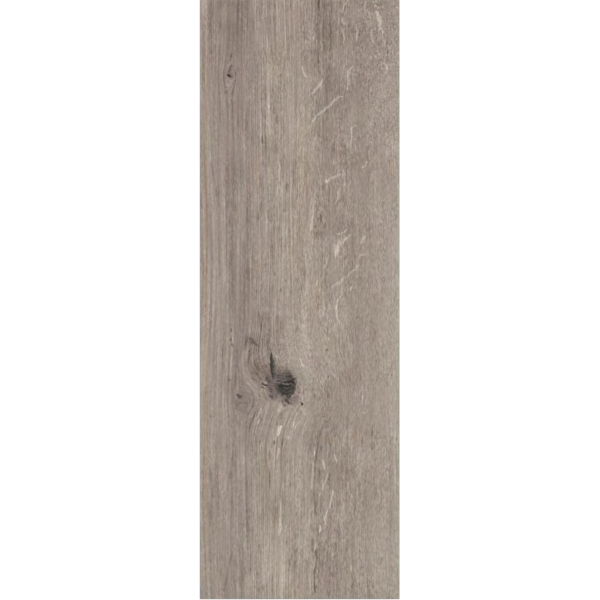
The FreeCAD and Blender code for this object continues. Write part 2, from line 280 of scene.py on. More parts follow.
# Darker touches along the grain, in the same terms
DARK_TOUCHES = [
    (14, 70.9, 258.8, 0.9, 2.2), (12, -40, 289, 0.9, 12), (3, -26, 285, 0.7, 16), (18, 79, 294.5, 1.2, 1.4),
    (5, -24.5, 285, 0.9, 16), (12, -28, 251, 0.9, 12), (12, -69, 231.5, 1.1, 7.5, 0.18),
    (13, -66.6, 233, 1, 2.5, 0.3), (20, -68.5, 243.2, 1, 3.2), (10, -62, 230, 2, 3),
    (10, -63.5, 225.5, 1.8, 2.5), (17, 19.5, 296, 1.2, 8), (14, 19, 237, 1.3, 5), (7, 27, 280, 1, 16),
    (9, 24, 267, 1, 14), (20, 87.6, 257.2, 1.3, 1.7), (16, 81, 258, 1.2, 1.5), (11, 77.4, 274.4, 1.2, 1.5),
    (10, 77.5, 246.5, 1.1, 1.4), (14, 79.6, 239.2, 1.1, 1.3), (28, 88.4, 247, 1.1, 2.2, 0.2),
    (8, 49.6, 274, 2.4, 3), (10, 45.9, 267.4, 1.3, 2.2), (12, 95, 293, 1.1, 1.7), (10, 31.5, 143.5, 1, 4.5),
    (22, 21.5, 82, 1, 7), (12, 26, 70, 1, 11), (23, -22.9, 179, 1.2, 9), (12, -22.9, 196, 1, 6),
    (6, -26, 190, 0.9, 7), (13, -37.6, 160, 1, 7), (9, -38, 116, 1, 17), (9, -30.3, 140, 0.9, 9),
    (6, -52.4, 175, 2, 28), (12, -36.3, 136.5, 0.9, 5), (23, -12.3, 112, 1.7, 6), (3, -6.9, 128.5, 0.9, 5),
    (11, -3.9, 135, 0.9, 6), (9, -5.2, 117, 0.8, 7), (9, -2, 106, 0.9, 7), (24, -18.5, 135, 0.9, 7),
    (9, -23, 152, 3.5, 5), (12, -38.5, 92, 1.4, 8), (12, -42, 82, 1.7, 7), (5, -32.1, 85, 0.8, 8),
    (12, -63.3, 92, 1.3, 8), (10, -62, 79, 1, 5), (11, -70, 78, 1, 6), (10, -69.3, 39, 1.2, 13),
    (9, -52.4, 74, 1.9, 24), (6, -53.5, 52, 2.4, 9), (11, -51.9, 22, 2, 30), (10, -27.1, 47, 0.9, 15),
    (10, -19.3, 49, 0.9, 11), (8, -20.6, 69.5, 1.6, 4), (14, -18.4, 10, 1.2, 3), (13, -37.5, 12.5, 1.1, 5),
    (11, -27.2, 10.5, 0.9, 4.5), (13, -5, 92.5, 1.2, 5.5), (17, -15.3, 88.5, 1.4, 3),
    (27, -24.4, 25, 1.2, 3), (12, -14.5, 18, 1.1, 2.5), (6, -2.1, 19.5, 1, 3.5),
    (11, -18.8, -27.5, 0.9, 9, -0.06), (12, -5, -31, 1.3, 1.5), (10, -48, -42, 5, 5),
    (9, -53.8, -43, 2, 10, 0.03), (18, -50.7, -59.3, 0.9, 1.7), (20, -50.5, -51.5, 1, 1.1),
    (20, -70.4, -80.8, 1.7, 1.6), (9, -52.5, -63.5, 1.3, 4.5), (9, -41.5, -69, 2.4, 11, 0.05),
    (8, -44, -71, 4, 9), (24, -68.3, -31, 0.9, 3.5), (20, -68.4, -40, 0.9, 2.8), (28, -67.1, -45.5, 0.9, 3),
    (5, -64, -79, 1.1, 11, 0.1), (11, -57.4, -96.5, 1, 3), (8, -57, -103.5, 4.5, 5),
    (5, -62, -104.5, 1.2, 3, -0.7), (17, 27.5, -50.5, 1.7, 1.8), (26, 57.5, -18.2, 1.1, 2.2),
    (20, 70.8, -22.5, 1.1, 2.3), (16, 24.3, -61.2, 1.5, 1.5), (20, 27.8, -64.3, 1.4, 1.4),
    (28, 28.7, -77, 1.4, 1.4), (16, 42.8, -83.8, 1.5, 1.5), (8, 26, -82, 1.5, 1.6),
    (13, 93, -75.5, 1.4, 1.4), (9, 90, -45, 0.8, 4.5), (9, 91.8, -69.5, 0.8, 5, 0.1),
    (13, 12, -57.5, 1.4, 1.6), (7, 46.3, -78.2, 1.7, 1.4), (9, 26.7, -97, 1, 8), (13, 28.8, -98, 1, 9),
    (11, 31.6, -91, 1, 7), (10, 75, -32.5, 1.3, 5), (10, 63.5, -43.5, 1.3, 2), (46, 2.3, -104.8, 1.9, 1.7),
    (19, 27, -122, 1.4, 1.4), (13, 24, -117.3, 1.3, 1.1), (15, 22, -150.5, 1.2, 4.5),
    (19, 19.8, -175, 1.1, 7, 0.1), (17, 72.7, -135, 1, 5), (12, 79, -132.3, 0.9, 2.6),
    (11, 91.2, -140, 0.8, 5, 0.1), (9, 72.8, -147.3, 0.9, 3, 0.1), (5, 55.7, -130.5, 0.9, 4),
    (9, 29.4, -142.5, 1.1, 4.5), (8, -46.5, -119, 1.3, 12, 0.27), (3, -47.3, -120, 1, 8, 0.15),
    (10, -38.8, -118.5, 0.9, 6), (22, -25.4, -143.5, 1.4, 2.6), (15, -18.6, -115.5, 1, 5.5, 0.3),
    (14, -22.5, -123.5, 1, 3, -0.2), (13, -17.7, -142.5, 1.4, 5.5), (20, -29.7, -156, 0.9, 8),
    (25, -30.1, -180, 0.9, 13), (12, -12.8, -161.5, 1.1, 3.5), (10, -68, -174.5, 1.1, 3.5),
    (13, -69, -178.5, 1.4, 1.4), (12, -66.8, -161.5, 0.9, 6.5), (8, -73, -147.5, 1.1, 4.5),
    (11, -52.5, -149, 1.2, 5), (14, -88, -117, 1.8, 1.8), (9, -88.5, -175, 2.3, 9),
    (10, -87, -192, 1.5, 10), (5, -41, -173.5, 1.2, 2.6), (6, -19.2, -177, 1, 5.5, 0.05),
    (10, -23.2, -175.5, 0.8, 3, 0.3), (7, -35.5, -136.5, 1.7, 3.5), (10, -22.7, -213, 1.3, 17, -0.03),
    (11, -26, -218, 1.9, 15), (9, -25, -201, 1.2, 5), (19, -40.6, -246.5, 1.6, 4),
    (6, -28.1, -236.5, 1.5, 4.5), (15, -9.9, -263.5, 1.1, 6.5), (14, -11, -271, 1.8, 1.6),
    (12, -2.8, -214, 1.3, 3.5), (6, -64, -264.5, 1.2, 4.5), (5, -72.8, -280, 2.3, 7),
    (11, -44.2, -265, 1, 9), (13, -27.2, -284, 1, 15), (5, -52.6, -236.5, 1.6, 1.7),
    (13, -36.2, -288.5, 0.9, 5.5), (13, -33, -287.5, 0.9, 5.5), (14, -40.3, -290, 1.2, 3),
    (12, -89, -215, 1.4, 14), (11, -74.2, -213, 1.1, 4, 0.1), (11, -8.7, -209, 1, 10),
    (11, -8, -257.5, 0.9, 5.5), (9, -50, -270, 2.2, 2.5), (14, 33.2, -263, 1.3, 4),
    (11, 91, -222, 0.9, 15, 0.07), (9, 87.7, -239, 0.8, 4.5, 0.4), (16, 81.9, -261.5, 0.8, 6, 0.18),
    (15, 62.8, -268.3, 1.5, 1.5), (11, 60, -251, 1.3, 1.4), (7, 66.7, -286.5, 1.6, 1.6),
    (11, 7.5, -267, 1.1, 7, 0.08), (11, 16.9, -203.5, 1.1, 8), (12, 32, -206.5, 1.3, 3.5),
    (11, 70.5, -233, 1.5, 1.7),
]

# Dark lines in the grain: strength in hundredths, then points with a half width each
DARK_LINES = [
    (10, (31.3, 272, 0.5), (31.2, 256, 0.8), (31.5, 240, 0.5)),
    (14, (-41.2, -13, 0.6), (-39.6, -20, 1), (-38.4, -26, 1.2), (-37.4, -32, 0.7)),
    (10, (-35.6, -13, 0.5), (-37.2, -20, 0.8)),
    (7, (-45, -50, 0.9), (-51.5, -59, 1.3), (-51.5, -67, 1.3), (-47, -77, 1.3), (-39, -87, 0.9)),
    (4.5, (-40, -56, 0.7), (-45, -62, 1.1), (-45, -70, 1.1), (-40, -79, 1.1), (-36, -82, 0.6)),
    (7, (-67.5, -252, 0.5), (-69, -259, 1.1), (-71, -268, 0.8), (-72.8, -278, 1.2), (-75.5, -291, 0.8)),
    (8, (-64.5, -255, 0.5), (-63.3, -262, 0.9), (-63.6, -269, 0.6)),
    (5, (-78, -269, 0.5), (-80, -281, 0.7)),
    (5, (-82, -259, 0.5), (-84.3, -269, 0.7)),
    (6, (-60.6, -276, 0.5), (-59, -288, 0.8)),
    (7, (-66.5, -150, 0.5), (-68.5, -168, 0.7), (-71.5, -184, 0.7), (-74.5, -200, 0.5)),
    (10, (-44.8, -271, 0.5), (-44.8, -285, 0.7), (-44.8, -298, 0.5)),
    (18, (18.6, -143, 0.4), (17.2, -153, 0.7), (15.9, -162, 0.8), (15, -174, 0.5)),
    (12, (15, -176, 0.5), (14.3, -190, 1), (14.5, -204, 1.2), (15.8, -216, 0.8)),
    (12, (13, -240, 0.8), (12.4, -247, 1.3), (13, -253, 0.8)),
    (20, (17.3, -250.5, 1), (17, -255, 1.9), (17.4, -260, 1)),
    (22, (16.8, -262, 0.4), (15.6, -268, 0.9), (15, -273, 1), (14.7, -281, 0.6), (15.2, -292, 0.7)),
    (9, (30.4, -176, 0.3), (27.9, -181.5, 0.5), (25.8, -187, 0.4)),
    (5, (37, -195, 0.5), (36.6, -240, 0.7), (37.4, -290, 0.5)),
    (11, (-88, 137, 0.5), (-86, 124, 0.8), (-83.4, 105, 0.6)),
    (5, (-61, -50, 0.6), (-61.5, -68, 1.1), (-64, -82, 1.2), (-67, -92, 0.6)),
    (4.5, (-67, -92, 0.6), (-66.5, -102, 0.9), (-62, -110, 1), (-56, -112, 0.9), (-51.5, -106, 0.6)),
    (8, (-15, -111, 0.4), (-17, -116, 0.7), (-19, -122, 0.4)),
    (8, (-49, -119, 0.6), (-50.5, -133, 0.8)),
    (8, (27, -120, 0.4), (23, -129, 0.8), (19.5, -137, 0.6)),
    (7, (7, -126, 0.4), (4, -137, 0.7)),
]

# Broad lighter and darker places: how much lighter in hundredths of the tone, x, y, half width, half length
BROAD_PLACES = [
    (-4, -26, -55, 7, 10), (-3.5, -29, 271, 9, 20), (6.5, 66, -160, 14, 24), (-4, -40, 163, 14, 16),
    (-4, -99, -193, 5, 12), (4.5, 60, 284, 20, 17), (-3.5, -7, -117, 7, 10), (4, -99, 49, 5, 12),
    (4, 98, -241, 5, 12), (-3.5, 3, 246, 7, 12), (-4, -63, -54, 8, 12), (5, -99, 284, 5, 12),
    (-4, 3, 264, 8, 12), (-5, -70, -86, 9, 14), (-7, 50, 138, 11, 16), (4, 30, 286, 8, 12),
    (4, -59, 281, 8, 12), (4, -22, 95, 8, 12), (-4, 98, 222, 5, 12), (4, -99, 81, 5, 12),
    (4, 44, -138, 8, 12), (-4, -83, 247, 8, 12), (-4.5, -42, -56, 9, 12), (-8, -21, -26, 8, 12),
    (-8, -56, -103, 12, 14), (7.5, -10, -284, 10, 14), (7.5, -72, 285, 11, 14), (-7, 36, 76, 15, 16),
    (4.5, 98, -141, 6, 14), (-4.5, -84, 100, 8, 12), (-7.5, 31, 224, 12, 16), (7, 15, 14, 11, 14),
    (6, 16, 146, 13, 20), (-7, 52, -78, 11, 15), (-4.5, -37, -260, 8, 12), (-9, -34, -76, 10, 14),
    (-6, -39, -20, 10, 14), (6, 98, 52, 6, 16), (5.5, -11, -298, 9, 10), (7, 36, -16, 18, 24),
    (-5.5, -26, 299, 9, 10), (-6, 66, 210, 17, 21), (-7, 12, 238, 11, 20), (-8, -34, 153, 10, 14),
    (6.5, -54, -162, 10, 22), (5, -99, 299, 6, 8), (-5, -70, 218, 11, 17), (7, 92, 148, 10, 26),
    (8, -13, 110, 11, 16), (-6, -65, 277, 9, 34), (-5, -80, 285, 24, 26), (-5, 24, 268, 11, 44),
    (-4, -65, 185, 18, 28), (-5, -62, 128, 12, 28), (-4, -29, 146, 13, 20), (-7, 20, 74, 9, 18),
    (-2, -22, 280, 16, 30), (8, -97, 296, 8, 14), (-7, -98, 236, 6, 28), (-6, 26, 99, 15, 22),
    (-7, -28, -42, 15, 16), (6, 17, -6, 16, 21), (5, -94, -73, 9, 22), (-7.5, 41, 204, 18, 26),
    (5, -60, -297, 14, 14), (-5, 11, -66, 10, 14), (4, 49, 287, 14, 18), (-5, -98, -236, 5, 22),
    (4, -12, 175, 13, 38), (4, 7, 175, 11, 32), (7, -10, 78, 12, 24), (5, -22, -272, 17, 36),
    (3.5, 6, -230, 5, 36), (3, 92, -100, 10, 90), (3, 8, -66, 18, 22), (-7, -44, -43, 14, 14),
    (-5, 12, -140, 14, 18), (-3, 38, -178, 15, 22), (2, 30, -245, 9, 26), (4, 47, -140, 7, 20),
    (-9, 26, 290, 36, 60), (-7, 72, 280, 40, 80), (-7, -75, 275, 36, 60), (2.5, -26, 165, 26, 70),
    (2, -75, 130, 30, 80), (3, 26, 60, 26, 60), (-3.5, 26, 160, 30, 60), (-4.5, 75, 150, 34, 55),
    (3, -25, 45, 28, 50), (7.5, 18, -52, 28, 44), (-3, 32, -155, 26, 55), (-2, 32, -255, 26, 50),
    (7, -27, -258, 26, 50), (5, 75, -255, 30, 55), (3, -75, -260, 34, 60), (-10, -16, -84, 22, 24),
    (-9, -36, -71, 15, 21), (5.5, -29, 224, 10, 17), (-3, -80, 224, 14, 18), (2.8, -90, -75, 16, 150),
    (-2, -90, 150, 16, 110), (4.5, 10, 42, 12, 20), (4.5, -50, -284, 9, 14), (-1.8, -31, -20, 12, 85),
    (-2.2, 50, 60, 10, 80), (1.8, 91, 5, 10, 60), (1.4, 70, 15, 11, 60), (-1.2, -62, 20, 20, 90),
]

# Stains in the print, and painted edge shade along its rims: strength in hundredths, x, y, half width and
# half length
YELLOW_STAINS = [
    (50, -18, -267, 8, 12), (-80, -88, -293, 8, 10), (-60, 82, 299, 9, 8), (-60, -99, -257, 5, 12),
    (-60, -36, -108, 7, 10), (-50, 98, -262, 5, 12), (90, 4, 192, 8, 13), (70, 2, 91, 8, 12),
    (70, -14, 140, 8, 12), (60, -8, 277, 8, 12), (60, 26, -298, 8, 8), (-80, 98, 270, 6, 12),
    (-70, -74, -284, 8, 12), (-60, -33, -53, 8, 12), (90, 3, 140, 9, 62), (70, -8, 53, 9, 14),
    (60, 44, 299, 9, 8), (60, 11, -298, 8, 8), (-80, -74, -181, 9, 14), (-80, -63, -61, 9, 14),
    (-70, -53, 80, 9, 14), (-70, -81, -252, 9, 14), (-60, -31, -68, 8, 12), (-70, -99, -292, 5, 10),
    (110, -22, 240, 15, 28), (100, -12, -296, 22, 16), (100, 4, 122, 12, 24), (100, 4, 69, 12, 20),
    (90, -3, 290, 11, 14), (90, 14, 2, 15, 22), (80, 42, 102, 13, 16), (40, 34, -57, 12, 16),
    (-110, -57, -106, 16, 24), (-90, -99, -239, 6, 18), (-90, -60, -222, 20, 34), (-80, -65, -268, 12, 18),
    (-80, 23, -148, 12, 15), (-60, -59, -34, 14, 18), (-50, 99, 250, 6, 24), (-32, -70, 0, 48, 440),
    (34, 0, 170, 46, 240), (20, 62, -40, 34, 280),
]
# Cooler, greyer strips along the face's left, right and near rims, next to the bevel: painted edge shade
# where the bevel catches less light, not stains in the print
PAINTED_EDGE_SHADE = [
    (100, -99, -292, 5, 12), (130, -99.8, 0, 2.1, 420), (90, 99.8, 0, 2.6, 420), (100, 0, -299.8, 160, 4),
]
MAUVE_STAINS = [
    (100, -90, 242, 6, 16), (90, -57, 230, 6, 12), (80, 0, 285, 6, 12), (40, -75, 130, 20, 24),
    (110, -51, 105, 5, 12), (80, 10, 110, 9, 16), (100, 12, -58, 8, 12), (80, 52, -80, 15, 28),
    (90, 45, -178, 12, 18), (80, 33, -228, 9, 24), (130, -12.5, -236, 3, 12), (100, -5, -226, 9, 7),
    (90, 28, -283, 12, 12), (100, 3, -285, 4, 10), (50, -72, -294, 16, 8), (80, 98, -115, 5, 18),
    (80, -99, 42, 5, 32), (50, 67, 221, 8, 12), (40, 64, -265, 8, 12), (60, 98, 73, 5, 14),
    (50, -33, -138, 8, 12), (120, -80, -175, 9, 11), (160, -27, -88, 10, 17), (120, -7, -100, 8, 7),
    (100, 2, -90, 5, 8),
]
OLIVE_STAINS = [
    (40, 36, -227, 8, 12), (60, -60, -298, 16, 8), (50, 85, -298, 8, 8), (40, -99, -90, 5, 100),
    (50, -99, -254, 5, 12), (50, 84, 40, 8, 22), (50, 98, 160, 5, 30), (140, -99, 122, 5, 15),
    (70, 98, -298, 5, 10), (70, 98, 268, 5, 16), (90, -99, 227, 5, 24), (50, -29, 232, 9, 12),
    (60, 98, -259, 5, 12), (120, -93, 155, 6, 24), (100, -61, 117, 6, 17), (30, 8, 175, 12, 32),
    (80, 25, -43, 13, 15), (80, 82, 299, 22, 10), (60, 99, 205, 5, 24), (200, -97.5, -240, 4, 12),
    (130, -97, 12, 4, 12), (120, -95, 50, 5, 8), (120, -40, -170, 5, 10), (110, -14, -217, 4, 9),
    (100, -55, -242, 8, 10), (100, 3, -38, 8, 9), (100, 5, -75, 10, 15), (20, -14, 80, 12, 28),
    (20, -20, -258, 20, 26), (110, -37, -92, 6.5, 9), (110, 98, 0, 4, 420), (50, 46, -275, 3.5, 14),
]
TAN_STAINS = [
    (110, -94.4, 0, 3.1, 420), (70, -44, 35, 5, 14), (60, -2, 38, 5, 22), (100, 93, 132, 5, 12),
    (100, 56, -137, 8, 8), (90, 30, -141, 8, 5), (80, -34, -167, 4, 16), (100, -25.5, -221, 2.5, 12),
    (80, -43, 125, 4, 34),
]

# The colour shift of each stain and of the painted edge shade at strength 1, in screen steps of red, green,
# blue
STAINS_AND_EDGE_SHADE = {
    "yellow stains": (0.4, 0.3, -2.6),
    "painted edge shade": (-3.0, 1.5, 6.5),
    "mauve stains": (1.6, -1.8, 0.6),
    "olive stains": (-1.6, 1.6, -1.6),
    "tan stains": (3.2, -0.2, -4.8),
}

# Parts of the knots, laid on in this order: colour, strength in hundredths and points with a half width each
KNOT_PARTS = [
    ((113, 102, 98), 85, (-28, -79, 5), (-26.5, -87, 7.5), (-26, -95, 6)),
    ((122, 108, 104), 70, (-17, -99, 4.5), (-9, -101, 5), (-4, -99, 3.5)),
    ((118, 107, 99), 75, (-20, -73, 5.5), (-12.5, -74, 5.5)),
    ((92, 83, 78), 85, (-19, -78, 5), (-11.5, -77, 5), (-7.5, -81.5, 4)),
    ((80, 74, 70), 95, (-18.5, -87, 6.5), (-11.5, -86.5, 8)),
    ((79, 74, 69), 90, (-14.5, -92, 8), (-13, -96.5, 4.5)),
    ((50, 49, 45), 75, (-19, -87.5, 2.2), (-13, -89, 3.4), (-9, -88.5, 2.4)),
    ((44, 39, 37), 80, (-23, -81.1, 0.5), (-15.6, -82.9, 0.7), (-9.3, -82.7, 0.7)),
    ((46, 41, 39), 70, (-21, -85.8, 0.6), (-15, -86.6, 0.8), (-9, -86, 0.6)),
    ((42, 36, 35), 85, (-9.6, -81.4, 1), (-7, -82.6, 1.7), (-4.8, -84.4, 1)),
    ((52, 46, 42), 70, (-14, -77.6, 0.7), (-9.6, -76.6, 0.8), (-6, -80.6, 0.8)),
    ((50, 45, 42), 75, (-5.4, -87, 0.8), (-6.6, -92, 0.9), (-9.6, -97.6, 0.8)),
    ((50, 45, 42), 70, (-18, -93.6, 0.8), (-12, -94.6, 1), (-9, -92.8, 0.7)),
    ((58, 53, 50), 65, (-20.6, -90.6, 0.8), (-18.4, -92.2, 0.7)),
    ((122, 112, 109), 80, (-24.6, -79.8, 0.4), (-18, -81.4, 0.5), (-12.6, -80.8, 0.3)),
    ((126, 118, 113), 80, (-21.4, -82.9, 0.4), (-14, -84.7, 0.5), (-8.4, -83.9, 0.3)),
    ((98, 92, 88), 60, (-17, -88.4, 0.3), (-12, -89.2, 0.3), (-8, -88.2, 0.3)),
    ((122, 112, 107), 70, (-18.5, -96.6, 0.7), (-14.2, -98.4, 1.4)),
    ((70, 58, 54), 80, (-13.4, -101, 1.2), (-11.6, -102.6, 1.9), (-10.6, -103.6, 1)),
    ((102, 90, 86), 70, (-17.6, -101.6, 0.7), (-16.2, -104.6, 1), (-14, -106.4, 0.8)),
    ((74, 64, 60), 80, (-7.6, -79.2, 0.5), (-5, -79.4, 0.8), (-3.4, -79, 0.4)),
    ((88, 80, 76), 60, (-6.6, -95.4, 0.5), (-3.6, -88, 0.5), (-3.8, -83.6, 0.5)),
    ((82, 76, 70), 95, (-28.6, -53.6, 0.4), (-28, -58, 1.3), (-27.3, -64, 2.6), (-26.8, -70, 2.7),
     (-26, -78, 1.8)),
    ((58, 53, 49), 80, (-28.6, -55.5, 0.5), (-28.4, -60, 1), (-28.6, -67, 1.3), (-27.4, -73, 0.9),
     (-27, -78, 0.5)),
    ((108, 107, 96), 60, (-25.4, -62, 0.8), (-24.8, -72, 1)),
    ((184, 177, 168), 55, (-23.8, -56.6, 0.9), (-22.6, -59, 1.5)),
    ((88, 78, 74), 70, (-33.4, -78.4, 1.2), (-30.8, -81.6, 1.2), (-30.6, -83, 0.8)),
    ((84, 74, 72), 70, (-29.6, -89.6, 1.2), (-28.2, -92, 0.8)),
    ((84, 74, 72), 70, (-29.6, -95.6, 1), (-28, -98.2, 1.2)),
    ((118, 108, 100), 50, (-37, -93, 1.4), (-34, -97, 1.6), (-33, -101, 0.8)),
    ((56, 46, 42), 90, (-37.2, -83.6, 0.5), (-35, -85.6, 1.1), (-32.4, -86.8, 0.5)),
    ((86, 76, 70), 70, (-38.4, -87.6, 0.6), (-36, -88.2, 0.7)),
    ((192, 181, 168), 60, (-37.4, -81.2, 0.6), (-33, -84, 0.6)),
    ((184, 173, 160), 50, (-38, -86, 0.5), (-35, -87.4, 0.5)),
    ((92, 80, 73), 85, (-61.6, -96, 1.5), (-59.6, -97.6, 1.9)),
    ((112, 101, 94), 60, (-62.6, -101, 1), (-60, -104, 1.2)),
    ((126, 115, 106), 60, (-53.5, -38, 2.2), (-48, -41, 3.8), (-44, -44, 2.4)),
    ((100, 88, 80), 68, (-49.6, -39.4, 1.2), (-46.8, -41.2, 2.1), (-44, -44.2, 1.3), (-41.2, -46.8, 0.5)),
    ((96, 84, 76), 70, (-67.4, 234.6, 0.4), (-70.2, 230.6, 0.6), (-70.6, 226, 0.7)),
    ((104, 92, 84), 70, (-68.6, 245, 0.3), (-69, 239, 0.6)),
    ((118, 106, 98), 55, (-71, 227, 0.8), (-69.8, 224.4, 2.4), (-67.4, 222.6, 0.9)),
    ((50, 40, 34), 100, (-71.6, 224.7, 1), (-70.3, 223.8, 1.4), (-69, 223, 0.8)),
]


class Field:
    """A value that varies over the tile. Sums and products of fields add the nodes that work them out."""

    def __init__(self, net, socket):
        self.net = net
        self.socket = socket

    def __add__(self, other):
        return self.net.math("ADD", self, other)

    def __sub__(self, other):
        return self.net.math("SUBTRACT", self, other)

    def __mul__(self, other):
        return self.net.math("MULTIPLY", self, other)

    def __truediv__(self, other):
        return self.net.math("DIVIDE", self, other)

    def power(self, exponent):
        return self.net.math("POWER", self, exponent)

    def least(self, other):
        return self.net.math("MINIMUM", self, other)

    def most(self, other):
        return self.net.math("MAXIMUM", self, other)

    def clamped(self, low=0.0, high=1.0):
        return self.net.add("ShaderNodeClamp", self, low, high)

    def ramp(self, start, end, low=0.0, high=1.0):
        """A smooth step from low at start to high at end."""
        # The step clamps by itself, and the node's own clamp would make a long sum too big for the renderer
        step = {"interpolation_type": "SMOOTHSTEP", "clamp": False}
        return self.net.add("ShaderNodeMapRange", self, start, end, low, high, **step)


class Net:
    """One node tree and the ways of adding to it. The same calls work for materials and for geometry."""

    def __init__(self, tree):
        self.tree = tree

    def node(self, kind, *feeds, **settings):
        """A new node, with its inputs set or linked in order."""
        node = self.tree.nodes.new(kind)
        for name, value in settings.items():
            setattr(node, name, value)
        for socket, value in zip([s for s in node.inputs if s.enabled], feeds):
            self.feed(socket, value)
        return node

    def feed(self, socket, value):
        if isinstance(value, Field):
            self.tree.links.new(value.socket, socket)
        else:
            socket.default_value = value

    def add(self, kind, *feeds, out=0, **settings):
        """A new node's output as a field."""
        outputs = [s for s in self.node(kind, *feeds, **settings).outputs if s.enabled]
        return Field(self, outputs[out])

    def math(self, operation, *feeds):
        return self.add("ShaderNodeMath", *feeds, operation=operation)

    def vector(self, operation, *feeds):
        return self.add("ShaderNodeVectorMath", *feeds, operation=operation)

    def point(self, x, y, z=0.0):
        return self.add("ShaderNodeCombineXYZ", x, y, z)

    def parts(self, place):
        """The x, y and z of a vector."""
        split = self.node("ShaderNodeSeparateXYZ", place)
        return [Field(self, socket) for socket in split.outputs]

    def mixed(self, share, low, high):
        """Between two vectors, by a share from 0 to 1."""
        return self.add("ShaderNodeMix", share, low, high, data_type="VECTOR")

    def noise(self, place, scale, detail, roughness):
        """Soft noise about 0, mostly between -1 and 1. scale is how many of its marks fit in a unit."""
        middle, spread = 0.5, 5.0
        value = self.add("ShaderNodeTexNoise", place, scale, detail, roughness)
        return (value - middle) * spread

    def streaks(self, across, along, width, length, seed, detail=1.0, roughness=0.6):
        """Noise drawn out along the grain, with marks of about this width and length."""
        place = self.point(across * (1 / width), along * (1 / length), seed)
        return self.noise(place, 1.0, detail, roughness)

    def pattern(self, name, across, along):
        """One of the patterns, as noise about 0."""
        return self.streaks(across, along, *PATTERNS[name])

    def group(self, name, inputs, build):
        """The node group of this name in this kind of tree, built the first time it is asked for."""
        name = f"{name} {self.tree.bl_idname}"
        if name in bpy.data.node_groups:
            return bpy.data.node_groups[name]
        tree = bpy.data.node_groups.new(name, self.tree.bl_idname)
        for label, kind in inputs:
            tree.interface.new_socket(name=label, in_out="INPUT", socket_type=kind)
        tree.interface.new_socket(name="Cover", in_out="OUTPUT", socket_type="NodeSocketFloat")
        inside = Net(tree)
        source = tree.nodes.new("NodeGroupInput")
        result = build(inside, *[Field(inside, s) for s in source.outputs[: len(inputs)]])
        tree.links.new(result.socket, tree.nodes.new("NodeGroupOutput").inputs[0])
        return tree

    def call(self, group, *feeds):
        """A group's cover, with its inputs given in order."""
        kind = "GeometryNodeGroup" if self.tree.bl_idname == "GeometryNodeTree" else "ShaderNodeGroup"
        node = self.tree.nodes.new(kind)
        node.node_tree = group
        for socket, value in zip(node.inputs, feeds):
            self.feed(socket, value)
        return Field(self, node.outputs[0])


def touch_cover(net, place, scale, shift):
    """A soft upright oval: 1 in its middle and 0 outside. scale and shift make it the circle of radius 1."""
    offset = net.vector("MULTIPLY_ADD", place, scale, shift)
    return net.vector("DOT_PRODUCT", offset, offset).ramp(1.0, 0.0)


def squared_distance(side, end):
    """The square of how far a place lies from the middle it is measured from."""
    return side * side + end * end


def leaning_touch_cover(net, place, across, along):
    """A soft oval that leans. place is (x, y, 1), and the others turn it into the oval's terms."""
    side = net.vector("DOT_PRODUCT", place, across)
    end = net.vector("DOT_PRODUCT", place, along)
    return squared_distance(side, end).ramp(1.0, 0.0)


def sum_of_touches(net, place, marks):
    """The sum of soft ovals, each with its strength. place is (x, y, 1)."""
    vectors = [(label, "NodeSocketVector") for label in ("Place", "First", "Second")]
    upright = net.group("touch", vectors, touch_cover)
    leaning = net.group("leaning touch", vectors, leaning_touch_cover)
    total = 0.0
    for strength, x, y, half_width, half_length, *lean in marks:
        half_width += SOFT_RIM
        if lean:
            turn = math.atan(lean[0])
            cos, sin = math.cos(turn), math.sin(turn)
            across = (cos / half_width, -sin / half_width, (sin * y - cos * x) / half_width)
            along = (sin / half_length, cos / half_length, -(sin * x + cos * y) / half_length)
            cover = net.call(leaning, place, across, along)
        else:
            scale = (1 / half_width, 1 / half_length, 0.0)
            shift = (-x / half_width, -y / half_length, 0.0)
            cover = net.call(upright, place, scale, shift)
        total = net.math("MULTIPLY_ADD", cover, strength * HUNDREDTH, total)
    return total


def dash_gap(net, place, start, run, per_run, half, half_change):
    """How far (x, y, 1) lies from a dash along run, in half widths of the dash at the nearest place."""
    share = net.vector("DOT_PRODUCT", place, per_run).clamped()
    gap = net.vector("DISTANCE", net.vector("ADD", net.vector("SCALE", run, share), start), place)
    return gap / net.math("MULTIPLY_ADD", share, half_change, half)


def stroke(net, place, points):
    """One stroke through points that have a half width each: 1 in its middle and 0 outside."""
    vectors = [(label, "NodeSocketVector") for label in ("Place", "Start", "Run", "Per Run")]
    floats = [(label, "NodeSocketFloat") for label in ("Half", "Half Change")]
    group = net.group("dash", vectors + floats, dash_gap)
    nearest = None
    for (x, y, half), (next_x, next_y, next_half) in zip(points, points[1:]):
        run = (next_x - x, next_y - y, 0.0)
        squared = run[0] ** 2 + run[1] ** 2
        per_run = (run[0] / squared, run[1] / squared, -(run[0] * x + run[1] * y) / squared)
        half_change = float(next_half - half)
        gap = net.call(group, place, (x, y, 1.0), run, per_run, half + SOFT_RIM / 2, half_change)
        nearest = gap if nearest is None else nearest.least(gap)
    rim, core = 1.25, 0.45
    return nearest.ramp(rim, core)


def sum_of_strokes(net, place, marks):
    """The sum of strokes, each with its strength. place is (x, y, 1)."""
    total = 0.0
    for strength, *points in marks:
        total = net.math("MULTIPLY_ADD", stroke(net, place, points), strength * HUNDREDTH, total)
    return total


def laid_on(net, place, name):
    """The sum of one list of marks, in a node group of its own."""
    build, marks = MARKS[name]
    inputs = [("Place", "NodeSocketVector")]
    return net.call(net.group(name, inputs, lambda inside, spot: build(inside, spot, marks)), place)


def bell(net, side, end):
    """1 in the middle and fading softly away from it."""
    return net.math("EXPONENT", squared_distance(side, end) * -0.5)


